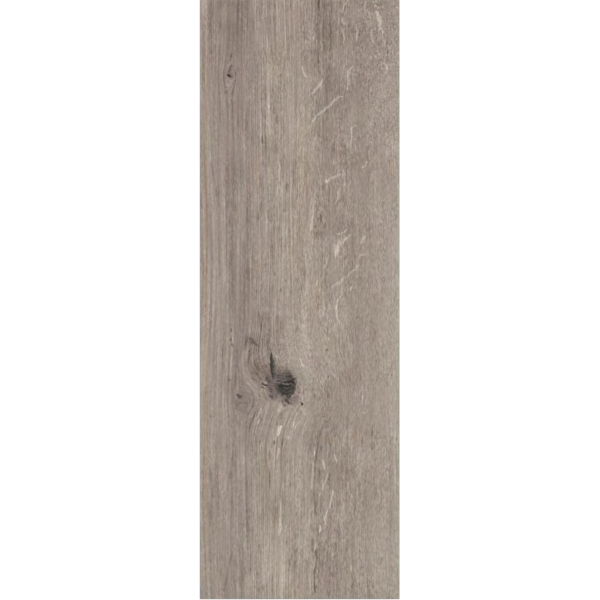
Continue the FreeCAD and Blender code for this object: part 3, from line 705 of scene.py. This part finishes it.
def grain_lines(net, x, y):
    """Which line of the grain a place is on: its x, with a little wandering and the push of the knots."""
    line = x
    for name, reach in (("wide wander", 3.0), ("narrow wander", 0.3)):
        line = line + net.pattern(name, x, y) * reach
    for knot_x, knot_y, reach, stretch, push in KNOTS_IN_GRAIN:
        side = (x - knot_x) * (1 / reach)
        end = (y - knot_y) * (stretch / reach)
        line = line - side * bell(net, side, end) * (push * reach)
    for swing_x, swing_y, across, along, swing in SWINGS_IN_GRAIN:
        side = (x - swing_x) * (1 / across)
        end = (y - swing_y) * (1 / along)
        line = line - bell(net, side, end) * swing
    return line


def frayed(net, x, y):
    """The place at which marks are read, shaken a little so that their outlines aren't clean: (x, y, 1)."""
    reach_across, reach_along = 0.3, 1.0
    shake_x = net.pattern("fray across", x, y) * reach_across
    shake_y = net.pattern("fray along", x, y) * reach_along
    return net.point(x + shake_x, y + shake_y, 1.0)


def torn(net, x, y):
    """The place at which the knots are read, shaken more and finer than for the other marks: (x, y, 1)."""
    reach, seed_x, seed_y = 0.7, 88.1, 89.1
    shake_x = net.noise(net.point(x, y, seed_x), scale=0.35, detail=2.0, roughness=0.6) * reach
    shake_y = net.noise(net.point(x, y, seed_y), scale=0.35, detail=2.0, roughness=0.6) * reach
    return net.point(x + shake_x, y + shake_y, 1.0)


def near_main_knot(net, x, y):
    """1 round the main knot, where the grain is mottled, and 0 away from it."""
    middle_x, middle_y, width, length = MOTTLED_ROUND_KNOT
    side = (x - middle_x) * (1 / width)
    end = (y - middle_y) * (1 / length)
    rim, core = 1.0, 0.2
    return squared_distance(side, end).ramp(rim, core)


def upper_right(net, x, y):
    """1 in the speckled upper right of the face, and 0 away from it."""
    (plain_x, speckled_x), (plain_y, speckled_y) = SPECKLED_PART
    return x.ramp(plain_x, speckled_x) * y.ramp(plain_y, speckled_y)


def circling_dabs(net, x, y):
    """Short dabs of tone that circle the main knot, as noise about 0."""
    knot_x, knot_y, stretch = MAIN_KNOT
    width, dabs_per_radian, seed = 1.25, 12.0, 41.7
    side = x - knot_x
    end = (y - knot_y) * stretch
    radius = squared_distance(side, end).power(0.5)
    angle = net.math("ARCTAN2", end, side)
    return net.streaks(radius, angle, width, 1 / dabs_per_radian, seed)


def grain_layer(net, line, y, number):
    """One layer of the grain's streaks, as noise about 0."""
    width, length, seed = GRAIN_LAYERS[number][:3]
    return net.streaks(line, y, width, length, seed)


def drawn_streaks(net, x, y, line, mottled):
    """The grain's streaks, which differ between the quarters and are fainter where the grain is mottled."""
    wavering = x + net.pattern("wavering of the quarters", x, y) * WAVERING
    changes = [wavering.ramp(middle - half, middle + half) for middle, half in QUARTERS]
    drawn = 0.0
    for number, (*_, strengths, kept) in enumerate(GRAIN_LAYERS):
        strength = strengths[0]
        for change, before, after in zip(changes, strengths, strengths[1:]):
            strength = net.math("MULTIPLY_ADD", change, after - before, strength)
        layer = grain_layer(net, line, y, number) * (mottled * (kept - 1) + 1.0)
        drawn = net.math("MULTIPLY_ADD", layer, strength, drawn)
    return drawn


def hairlines(net, line, y, mottled):
    """Long fine lines, paler and darker, in patches where the grain isn't mottled."""
    noise = net.pattern("hairlines", line, y)
    faint, full = 0.6, 1.8
    lines = noise.ramp(faint, full) - noise.ramp(-faint, -full)
    patches = net.pattern("patches of hairlines", line, y).ramp(0.0, 1.2)
    return lines * patches * (mottled * -1.0 + 1.0) * HAIRLINE_TONE


def pale_dots(net, x, y):
    """Pale dots that lie thick round the largest ray flecks, as a share lighter."""
    dots = net.pattern("pale dots", x, y).ramp(0.5, 1.6)
    return dots * stroke(net, net.point(x, y, 1.0), DOTTED_STRIP) * DOT_TONE


def grain_tone(net, x, y, line):
    """The print's grain, as a share lighter or darker: bands, streaks, hairlines, mottling, dabs, dots."""
    circled = near_main_knot(net, x, y)
    speckled = upper_right(net, x, y)
    mottled = circled.most(speckled)
    bands = net.pattern("bands", line, y) * BAND_TONE + net.pattern("drift", x, y) * DRIFT_TONE
    drawn = drawn_streaks(net, x, y, line, mottled) + hairlines(net, line, y, mottled)
    mottle = net.pattern("mottle", line, y) * (speckled * SPECKLE_TONE + MOTTLE_TONE)
    dabs = circling_dabs(net, x, y) * circled * DAB_TONE
    contrast = net.pattern("contrast", x, y).ramp(-1.0, 1.0, low=0.7, high=1.3)
    return bands + (drawn + mottle + dabs) * contrast + pale_dots(net, x, y)


def tone_across(net, x):
    """The slow change of tone from the left edge to the right one."""
    curve = net.tree.nodes.new("ShaderNodeFloatCurve")
    low_x, high_x = TONE_ACROSS[0][0], TONE_ACROSS[-1][0]
    middle, reach = 0.5, 0.1
    line = curve.mapping.curves[0]
    for _ in TONE_ACROSS[2:]:
        line.points.new(middle, middle)
    for point, (place, tone) in zip(line.points, TONE_ACROSS):
        point.location = ((place - low_x) / (high_x - low_x), middle + tone / (2 * reach))
    curve.mapping.update()
    share = (x - low_x) * (1 / (high_x - low_x))
    net.tree.links.new(share.socket, curve.inputs["Value"])
    return (Field(net, curve.outputs[0]) - middle) * (2 * reach)


def marks_tone(net, x, y, line, place):
    """The listed marks, as a share lighter or darker."""
    pale = laid_on(net, place, "ray flecks") * FLECK_STRENGTH
    pale = pale + laid_on(net, place, "pale touches") * PALE_STRENGTH
    dark = laid_on(net, place, "dark touches") + laid_on(net, place, "dark lines") * LINE_STRENGTH
    broken = net.pattern("breaks in dark marks", line, y).ramp(-0.9, 0.9, low=0.5, high=1.5)
    # Broad places follow the grain's wandering, but less than its streaks do
    led = 0.35
    broad = laid_on(net, net.point(line * led + x * (1 - led), y, 1.0), "broad places")
    return broad + pale - dark * broken


def screen(colour):
    """A screen colour of 0 to 255 as shares of white."""
    return tuple(channel / 255 for channel in colour)


def grey(net, value):
    """The same amount of red, green and blue."""
    return net.point(value, value, value)


def stained_and_edge_shaded(net, colour, y, line, place):
    """A screen colour with the print's faint redder and yellower streaks, its stains and the painted edge
    shade at its rims.
    """
    drift = y * DRIFT_OF_TINT
    red = net.pattern("redder streaks", line, y) * RED_TINT + drift
    yellow = net.pattern("yellower streaks", line, y) * YELLOW_TINT - drift
    colour = net.vector("ADD", colour, net.vector("SCALE", REDDER, red))
    colour = net.vector("ADD", colour, net.vector("SCALE", YELLOWER, yellow))
    # The stains, then the painted edge shade along the left, right and near rims
    for name, shift in STAINS_AND_EDGE_SHADE.items():
        amount = laid_on(net, place, name)
        colour = net.vector("ADD", colour, net.vector("SCALE", screen(shift), amount))
    return colour


def with_knots(net, colour, x, y, grain):
    """A screen colour with the knots laid over it, part by part, and checks and grain in them."""
    place = torn(net, x, y)
    grain_kept, check_tone = 0.8, 0.2
    shade = grain * grain_kept + net.pattern("checks in the knots", x, y) * check_tone + 1.0
    for part, strength, *points in KNOT_PARTS:
        cover = stroke(net, place, points) * (strength * HUNDREDTH)
        colour = net.mixed(cover, colour, net.vector("SCALE", screen(part), shade))
    return colour


def as_light(net, colour, sheen=0.0):
    """A screen colour's amounts of light, which a shader reads, less what the surface's sheen adds."""
    gamma, darkest = 2.2, 0.004
    light = net.vector("POWER", colour, (gamma, gamma, gamma))
    less = net.vector("SUBTRACT", light, (sheen, sheen, sheen))
    return net.vector("MAXIMUM", less, (darkest, darkest, darkest))


def object_place(net):
    """Object coordinates in millimetres, as x, y and z."""
    place = net.add("ShaderNodeTexCoord", out=3)
    return net.parts(net.vector("MULTIPLY", place, (1 / MM, 1 / MM, 1 / MM)))


def new_material(name):
    """A material with a plain shader, and the net and shader to build on."""
    material = bpy.data.materials.new(name)
    material.use_nodes = True
    shader = material.node_tree.nodes["Principled BSDF"]
    return material, Net(material.node_tree), shader


def raise_surface(net, shader, height):
    """Links a height in millimetres to the shader as fine relief."""
    bump = net.node("ShaderNodeBump")
    bump.inputs["Distance"].default_value = MM
    bump.inputs["Strength"].default_value = 1.0
    net.feed(bump.inputs["Height"], height)
    net.tree.links.new(bump.outputs["Normal"], shader.inputs["Normal"])


def printed_face():
    """The glazed face: the oak print, its knots, flecks and stains, with painted edge shade at its rims,
    under a matte glaze.
    """
    material, net, shader = new_material("oak_print_glaze")
    x, y = object_place(net)[:2]
    line = grain_lines(net, x, y)
    place = frayed(net, x, y)
    grain = grain_tone(net, x, y, line)
    # Lighter and darker parts keep the oak's hue by adding the same step to red, green and blue
    step = (grain + tone_across(net, x) + marks_tone(net, x, y, line, place)) * TONE_TO_STEP
    colour = stained_and_edge_shaded(net, net.vector("ADD", grey(net, step), screen(OAK)), y, line, place)
    colour = with_knots(net, colour, x, y, grain)
    net.feed(shader.inputs["Base Color"], as_light(net, colour, sheen=0.012))

    roughness, gloss_change = 0.58, 0.03
    matte = net.pattern("gloss", line, y) * gloss_change + roughness
    net.feed(shader.inputs["Roughness"], matte.clamped(0.4, 0.75))
    shader.inputs["IOR"].default_value = 1.5
    shader.inputs["Specular IOR Level"].default_value = 0.4

    hair_height, pimple_height, seed = 0.006, 0.003, 124.2
    hairs = net.pattern("brushed hairs", line, y)
    pimples = net.noise(net.point(x, y, seed), scale=1.6, detail=2.0, roughness=0.6)
    raise_surface(net, shader, hairs * hair_height + pimples * pimple_height)
    return material


def clay_body(net, x, y, z):
    """The coloured clay that shows where the tile is ground or unglazed, as a screen colour."""
    place = net.point(x, y, z)
    speckle, cloud, grit = 0.018, 0.012, -0.10
    tone = net.noise(place, scale=1.3, detail=2.0, roughness=0.6) * speckle
    tone = tone + net.noise(place, scale=0.03, detail=2.0, roughness=0.5) * cloud
    tone = tone + net.noise(place, scale=2.6, detail=1.0, roughness=0.5).ramp(1.1, 1.7) * grit
    return net.vector("SCALE", screen(CLAY), tone + 1.0)


def ground_edge():
    """The ground edges and bevels: bare clay with fine grinding marks that run along the edge."""
    material, net, shader = new_material("ground_porcelain_edge")
    x, y, z = object_place(net)
    marks = net.pattern("grinding marks", x + y, z)
    tone_change, gloss_change, height = 0.02, 0.04, 0.012
    colour = net.vector("SCALE", clay_body(net, x, y, z), marks * tone_change + 1.0)
    net.feed(shader.inputs["Base Color"], as_light(net, colour))
    net.feed(shader.inputs["Roughness"], (marks * gloss_change + 0.62).clamped(0.45, 0.8))
    raise_surface(net, shader, marks * height)
    return material


def keyed_back():
    """The pressed back: bare clay, with a thin pale wash left on the rib tops from the kiln rollers."""
    material, net, shader = new_material("pressed_porcelain_back")
    x, y, z = object_place(net)
    recessed, flush = 0.22, 0.04
    wash_seed, pore_seed = 113.9, 102.6
    patchy = net.noise(net.point(x, y, wash_seed), scale=0.06, detail=3.0, roughness=0.6)
    scuffs = net.pattern("scuffs", x, y).ramp(-1.0, 0.8, low=0.35, high=1.0)
    wash = z.ramp(recessed, flush) * patchy.ramp(-1.2, 1.0, low=0.15, high=0.85) * scuffs
    colour = net.mixed(wash, clay_body(net, x, y, z), screen(KILN_WASH))
    net.feed(shader.inputs["Base Color"], as_light(net, colour))
    pores = net.noise(net.point(x, y, z + pore_seed), scale=0.9, detail=3.0, roughness=0.65)
    gloss_change, height = 0.04, 0.03
    net.feed(shader.inputs["Roughness"], (pores * gloss_change + 0.8).clamped(0.6, 0.95))
    raise_surface(net, shader, pores * height)
    return material


def only(item):
    """Makes one object the selected and active one."""
    bpy.ops.object.select_all(action="DESELECT")
    item.select_set(True)
    bpy.context.view_layer.objects.active = item


def select_edges(item, wanted):
    """Selects the edges of the object in edit mode that wanted says yes to."""
    bpy.ops.mesh.select_mode(type="EDGE")
    bpy.ops.mesh.select_all(action="DESELECT")
    mesh = bmesh.from_edit_mesh(item.data)
    for edge in mesh.edges:
        edge.select_set(wanted(edge))
    bmesh.update_edit_mesh(item.data)


def grain_depth(net, x, y, half_width, half_length):
    """How deep the grain is pressed: channels along the dark streaks and hollows at the knots."""
    line = grain_lines(net, x, y)
    place = net.point(x, y, 1.0)
    streaks = [grain_layer(net, line, y, number) for number in (0, 1)]
    depth = RESTING_DEPTH
    for noise in (*streaks, net.pattern("bands", line, y)):
        depth = net.math("MULTIPLY_ADD", noise, -STREAK_DEPTH, depth)
    depth = depth + laid_on(net, place, "dark touches") * TOUCH_DEPTH
    depth = depth + laid_on(net, place, "dark lines") * LINE_DEPTH
    depth = depth + sum_of_strokes(net, place, HOLLOWS)
    # The grain runs out just inside the face's outline, so that the bevel starts from a flat rim
    rim_across, rim_along = 1.6, 3.2
    side = net.math("ABSOLUTE", x).ramp(half_width, half_width - rim_across)
    end = net.math("ABSOLUTE", y).ramp(half_length, half_length - rim_along)
    return depth.clamped(0.0, DEEPEST) * side * end


def relief_tree(half_width, half_length):
    """Geometry nodes that press the grain into the flat face."""
    tree = bpy.data.node_groups.new("pressed_grain", "GeometryNodeTree")
    tree.interface.new_socket(name="Geometry", in_out="INPUT", socket_type="NodeSocketGeometry")
    tree.interface.new_socket(name="Geometry", in_out="OUTPUT", socket_type="NodeSocketGeometry")
    net = Net(tree)
    source = tree.nodes.new("NodeGroupInput")
    position = net.add("GeometryNodeInputPosition")
    x, y = net.parts(net.vector("MULTIPLY", position, (1 / MM, 1 / MM, 1 / MM)))[:2]
    drop = grain_depth(net, x, y, half_width, half_length) * -MM
    moved = net.node("GeometryNodeSetPosition")
    tree.links.new(source.outputs[0], moved.inputs["Geometry"])
    net.feed(moved.inputs["Offset"], net.point(0.0, 0.0, drop))
    tree.links.new(moved.outputs[0], tree.nodes.new("NodeGroupOutput").inputs[0])
    return tree


def press_face(size):
    """The face sheet: a fine grid inside the bevel, with the grain pressed into it."""
    width, length, thickness = size
    cells_across, cells_along = FACE_CELLS
    bevel = FACE_BEVEL * MM
    bpy.ops.mesh.primitive_grid_add(
        x_subdivisions=cells_across, y_subdivisions=cells_along, size=1, location=(0, 0, thickness)
    )
    face = bpy.context.active_object
    face.scale = (width - 2 * bevel, length - 2 * bevel, 1)
    bpy.ops.object.transform_apply(location=True, rotation=False, scale=True)
    pressed = face.modifiers.new("pressed_grain", "NODES")
    pressed.node_group = relief_tree((width / 2 - bevel) / MM, (length / 2 - bevel) / MM)
    bpy.ops.object.modifier_apply(modifier=pressed.name)
    return face


def grind_edges(slab, size):
    """Carries the face's outline down over the bevel and the ground sides to the bevel of the back."""
    width, length, thickness = size
    bevel = FACE_BEVEL * MM
    back = BACK_BEVEL * MM
    # One point of each bevel lies a little outside its flat, which rounds it
    face_in, face_down, back_in = 0.42, 0.32, 0.4
    profile = [
        (bevel, thickness),
        (bevel * face_in, thickness - bevel * face_down),
        (0.0, thickness - bevel),
        (0.0, back),
        (back * back_in, back * back_in),
        (back, 0.0),
    ]
    only(slab)
    bpy.ops.object.mode_set(mode="EDIT")
    select_edges(slab, lambda edge: edge.is_boundary)
    for (inset, height), (next_inset, next_height) in zip(profile, profile[1:]):
        bpy.ops.mesh.extrude_region_move(TRANSFORM_OT_translate={"value": (0, 0, next_height - height)})
        across = (width - 2 * next_inset) / (width - 2 * inset)
        along = (length - 2 * next_inset) / (length - 2 * inset)
        bpy.ops.transform.resize(value=(across, along, 1), center_override=(0, 0, 0))
    bpy.ops.object.mode_set(mode="OBJECT")


def press_key(cell, x, y):
    """One cell of the back: a flat square with a recess in it, whose corners are cut and floor is eased."""
    depth = KEY_DEPTH * MM
    mouth = cell - RIB_WIDTH * MM
    floor = mouth - 2 * depth * math.tan(math.radians(KEY_DRAFT))
    bpy.ops.mesh.primitive_plane_add(size=cell, location=(x, y, 0))
    key = bpy.context.active_object
    bpy.ops.object.transform_apply(location=True, rotation=False, scale=True)
    bpy.ops.object.mode_set(mode="EDIT")
    bpy.ops.mesh.select_all(action="SELECT")
    bpy.ops.mesh.inset(thickness=RIB_WIDTH * MM / 2, use_boundary=True)
    bpy.ops.mesh.extrude_region_move(TRANSFORM_OT_translate={"value": (0, 0, depth)})
    bpy.ops.transform.resize(value=(floor / mouth, floor / mouth, 1), center_override=(x, y, depth))
    select_edges(key, lambda edge: abs(edge.verts[0].co.z - edge.verts[1].co.z) > depth / 2)
    bpy.ops.mesh.bevel(offset=KEY_CORNER * MM, segments=3, profile=0.4, affect="EDGES")
    near_floor = depth * 0.99
    select_edges(key, lambda edge: all(v.co.z > near_floor for v in edge.verts) and not edge.is_boundary)
    bpy.ops.mesh.bevel(offset=KEY_EASE * MM, segments=2, profile=0.5, affect="EDGES")
    bpy.ops.object.mode_set(mode="OBJECT")
    return key


def press_back(size):
    """The keyed back: one cell with its recess, repeated across and along."""
    cell = (size[0] / MM - 2 * SIDE_RIM + RIB_WIDTH) / KEYS_ACROSS * MM
    key = press_key(cell, -cell * (KEYS_ACROSS - 1) / 2, -cell * (KEYS_ALONG - 1) / 2)
    for name, step, count in (("across", (cell, 0, 0), KEYS_ACROSS), ("along", (0, cell, 0), KEYS_ALONG)):
        repeat = key.modifiers.new(name, "ARRAY")
        repeat.use_relative_offset = False
        repeat.use_constant_offset = True
        repeat.constant_offset_displace = step
        repeat.count = count
        repeat.use_merge_vertices = True
        repeat.merge_threshold = 0.01 * MM
        bpy.ops.object.modifier_apply(modifier=repeat.name)
    return key


def side_of(middle, size):
    """Which side of the tile a face of its mesh belongs to, by the face's middle."""
    width, length, thickness = size
    from_side = width / 2 - abs(middle.x)
    from_end = length / 2 - abs(middle.y)
    if middle.z > thickness / 2 and min(from_side, from_end) > FACE_BEVEL * MM:
        return "face"
    if middle.z < thickness / 4 and min(from_side, from_end) > BACK_BEVEL * MM:
        return "back"
    if from_side < from_end:
        return "left" if middle.x < 0 else "right"
    return "near" if middle.y < 0 else "far"


def place_on_map(side, point, size):
    """Where a point of one side lies on the tile's own map."""
    width, length, thickness = size
    x, y, z = point.x / width + 0.5, point.y / length + 0.5, point.z / thickness
    across = x if side in ("face", "back") else z
    up = x if side in ("near", "far") else y
    left, right, bottom, top = MAP_PLACES[side]
    return left + (right - left) * across, bottom + (top - bottom) * up


def finish_by_place(tile, size):
    """Gives each face its finish, and lays the finishes out side by side on the tile's own map."""
    finishes = {"face": 0, "back": 2}
    ground = 1
    layer = tile.data.uv_layers.new(name="OFBake")
    for polygon in tile.data.polygons:
        side = side_of(polygon.center, size)
        polygon.material_index = finishes.get(side, ground)
        for corner in polygon.loop_indices:
            point = tile.data.vertices[tile.data.loops[corner].vertex_index].co
            layer.data[corner].uv = place_on_map(side, point, size)


def make_tile(size):
    """The whole plank as one closed mesh with three finishes."""
    tile = press_face(size)
    grind_edges(tile, size)
    key = press_back(size)
    only(tile)
    key.select_set(True)
    bpy.ops.object.join()
    bpy.ops.object.mode_set(mode="EDIT")
    select_edges(tile, lambda edge: edge.is_boundary)
    bpy.ops.mesh.fill(use_beauty=True)
    bpy.ops.mesh.select_all(action="SELECT")
    bpy.ops.mesh.normals_make_consistent(inside=False)
    bpy.ops.object.mode_set(mode="OBJECT")
    tile.name = "porcelain_plank"
    tile.data.name = "porcelain_plank"
    for material in (printed_face(), ground_edge(), keyed_back()):
        tile.data.materials.append(material)
    finish_by_place(tile, size)
    bpy.ops.object.shade_smooth_by_angle(angle=math.radians(30))
    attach(tile, "root")
    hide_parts("plank_tile")


def seen_directly(net):
    """1 for what the camera sees, also mirrored or through glass, and 0 for light that falls on things."""
    path = net.tree.nodes.new("ShaderNodeLightPath")
    names = ("Is Camera Ray", "Is Glossy Ray", "Is Transmission Ray")
    straight, mirrored, through = [Field(net, path.outputs[name]) for name in names]
    return straight.most(mirrored).most(through)


def make_floor():
    """A wide plain floor that the camera sees as white, with the tile's own soft shadow on it."""
    floor_size, below = 8, 0.2 * MM
    bpy.ops.mesh.primitive_plane_add(size=floor_size, location=(0, 0, -below))
    floor = bpy.context.active_object
    floor.name = "studio_floor"
    material, net, shader = new_material("white_floor")
    pale, glow_strength, shade_kept = 0.86, 1.15, 0.12
    shader.inputs["Base Color"].default_value = (pale, pale, pale, 1)
    shader.inputs["Roughness"].default_value = 0.9
    shader.inputs["Specular IOR Level"].default_value = 0.0
    tree = net.tree
    seen = seen_directly(net)
    glow = tree.nodes.new("ShaderNodeEmission")
    glow.inputs["Strength"].default_value = glow_strength
    mix = tree.nodes.new("ShaderNodeMixShader")
    net.feed(mix.inputs[0], seen * (1 - shade_kept))
    tree.links.new(shader.outputs[0], mix.inputs[1])
    tree.links.new(glow.outputs[0], mix.inputs[2])
    tree.links.new(mix.outputs[0], tree.nodes["Material Output"].inputs["Surface"])
    floor.data.materials.append(material)


def light_from_round():
    """The world: soft white light from all round."""
    world = bpy.data.worlds.new("studio")
    bpy.context.scene.world = world
    world.use_nodes = True
    net = Net(world.node_tree)
    # Dim overhead and bright towards the horizon, as between photo lamps, so no veil lies on the glaze
    overhead, horizon = 0.46, 1.48
    up = net.math("ABSOLUTE", net.parts(net.add("ShaderNodeTexCoord", out=0))[2])
    light = up * (overhead - horizon) + horizon
    seen = net.tree.nodes.new("ShaderNodeLightPath").outputs["Is Camera Ray"]
    strength = net.math("MULTIPLY_ADD", Field(net, seen), light * -1.0 + 1.0, light)
    background = world.node_tree.nodes["Background"]
    net.feed(background.inputs["Strength"], strength)
    background.inputs["Color"].default_value = (1, 1, 1, 1)


def add_lamp():
    """One broad soft lamp from the upper left."""
    place, size, energy = (-1.1, 0.9, 1.7), 1.3, 13.0
    bpy.ops.object.light_add(type="AREA", location=place)
    lamp = bpy.context.active_object
    lamp.name = "soft_lamp"
    lamp.data.shape = "DISK"
    lamp.data.size = size
    lamp.data.energy = energy
    lamp.rotation_euler = lamp.location.to_track_quat("Z", "Y").to_euler()


def make_camera(size):
    """Straight down on the middle of the tile, far off, with the tile's length as high as the picture."""
    lens, sensor = 100.0, 36.0
    # The picture's side at the face, and how far the picture's middle lies from the tile's
    side, shift_x, shift_y = 600.0 * MM, 0.41 * MM, -0.56 * MM
    height = side / 2 * lens / (sensor / 2)
    bpy.ops.object.camera_add(location=(shift_x, shift_y, size[2] + height), rotation=(0, 0, 0))
    camera = bpy.context.active_object
    camera.name = "camera"
    camera.data.lens = lens
    camera.data.sensor_width = sensor
    bpy.context.scene.camera = camera


# The lists of marks by name, with how each is summed
MARKS = {
    "ray flecks": (sum_of_strokes, RAY_FLECKS),
    "pale touches": (sum_of_touches, PALE_TOUCHES),
    "dark touches": (sum_of_touches, DARK_TOUCHES),
    "dark lines": (sum_of_strokes, DARK_LINES),
    "broad places": (sum_of_touches, BROAD_PLACES),
    "yellow stains": (sum_of_touches, YELLOW_STAINS),
    "painted edge shade": (sum_of_touches, PAINTED_EDGE_SHADE),
    "mauve stains": (sum_of_touches, MAUVE_STAINS),
    "olive stains": (sum_of_touches, OLIVE_STAINS),
    "tan stains": (sum_of_touches, TAN_STAINS),
}

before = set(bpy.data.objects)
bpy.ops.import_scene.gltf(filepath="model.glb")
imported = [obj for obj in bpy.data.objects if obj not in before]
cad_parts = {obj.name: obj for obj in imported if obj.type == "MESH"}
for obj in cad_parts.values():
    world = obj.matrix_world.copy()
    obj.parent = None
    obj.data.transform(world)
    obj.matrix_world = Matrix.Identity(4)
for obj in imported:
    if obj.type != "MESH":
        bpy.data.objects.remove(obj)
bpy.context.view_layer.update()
bpy.ops.object.select_all(action="DESELECT")
low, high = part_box("plank_tile")
tile_size = (high.x - low.x, high.y - low.y, high.z)

make_camera(tile_size)
light_from_round()
add_lamp()
make_floor()
make_tile(tile_size)
bpy.context.scene.view_settings.view_transform = "Standard"
